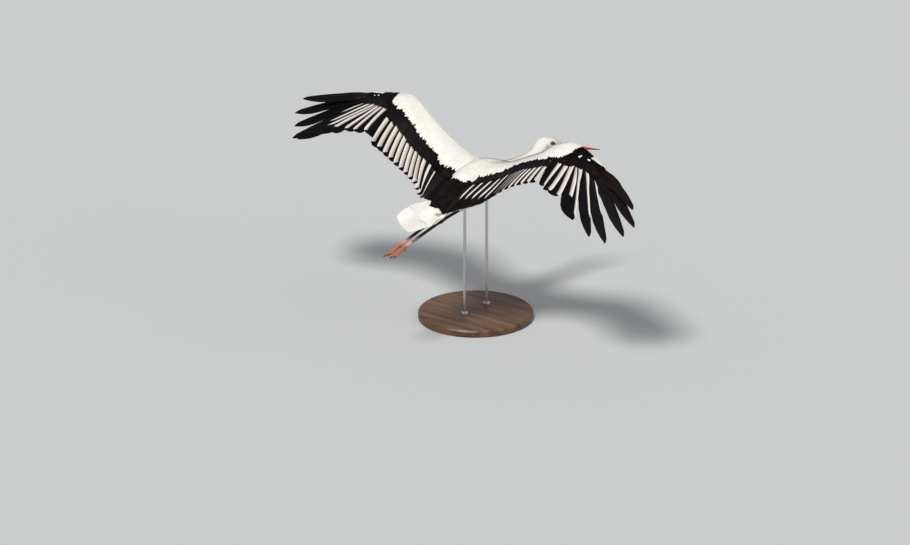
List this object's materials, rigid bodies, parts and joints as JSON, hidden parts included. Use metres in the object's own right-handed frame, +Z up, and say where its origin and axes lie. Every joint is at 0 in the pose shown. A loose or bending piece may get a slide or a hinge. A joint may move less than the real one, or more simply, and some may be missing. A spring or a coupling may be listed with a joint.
{
  "type": "bird model",
  "caption": "White stork in gliding flight, life size, wings spread and drooping at the tips, legs trailing, held over a round base by two rods.",
  "frame": {"origin": "centre of the underside of the stand's base", "axes": "+Z up; the bird flies towards -Y; +X is its left side"},
  "size_m": [1.7425, 1.2123, 0.8163],
  "materials": {
    "plumage_white": "matt, soft feathers",
    "plumage_black": "satin, stiff feathers",
    "bill": "satin horn",
    "eye": "glossy",
    "leg_skin": "matt, scaly skin",
    "stand_wood": "oiled, dark",
    "stand_steel": "brushed"
  },
  "bodies": {
    "root": {"bill_lower": "bill", "bill_upper": "bill", "eye_left": "eye", "eye_right": "eye", "head": "plumage_white", "leg_left_foot": "leg_skin", "leg_left_shank": "leg_skin", "leg_left_tarsus": "leg_skin", "leg_left_thigh": "plumage_white", "leg_right_foot": "leg_skin", "leg_right_shank": "leg_skin", "leg_right_tarsus": "leg_skin", "leg_right_thigh": "plumage_white", "neck_lower": "plumage_white", "neck_upper": "plumage_white", "scapulars_left": "plumage_black", "scapulars_right": "plumage_black", "stand_base": "stand_wood", "stand_rod_1": "stand_steel", "stand_rod_2": "stand_steel", "stand_socket_1": "stand_steel", "stand_socket_2": "stand_steel", "tail": "plumage_white", "trunk": "plumage_white", "wing_left_alula": "plumage_black", "wing_left_forearm": "plumage_white", "wing_left_hand": "plumage_black", "wing_left_primary_1": "plumage_black", "wing_left_primary_10": "plumage_black", "wing_left_primary_2": "plumage_black", "wing_left_primary_3": "plumage_black", "wing_left_primary_4": "plumage_black", "wing_left_primary_5": "plumage_black", "wing_left_primary_6": "plumage_black", "wing_left_primary_7": "plumage_black", "wing_left_primary_8": "plumage_black", "wing_left_primary_9": "plumage_black", "wing_left_secondaries": "plumage_black", "wing_left_tertials": "plumage_black", "wing_left_upper_arm": "plumage_white", "wing_right_alula": "plumage_black", "wing_right_forearm": "plumage_white", "wing_right_hand": "plumage_black", "wing_right_primary_1": "plumage_black", "wing_right_primary_10": "plumage_black", "wing_right_primary_2": "plumage_black", "wing_right_primary_3": "plumage_black", "wing_right_primary_4": "plumage_black", "wing_right_primary_5": "plumage_black", "wing_right_primary_6": "plumage_black", "wing_right_primary_7": "plumage_black", "wing_right_primary_8": "plumage_black", "wing_right_primary_9": "plumage_black", "wing_right_secondaries": "plumage_black", "wing_right_tertials": "plumage_black", "wing_right_upper_arm": "plumage_white"}
  },
  "joints": []
}
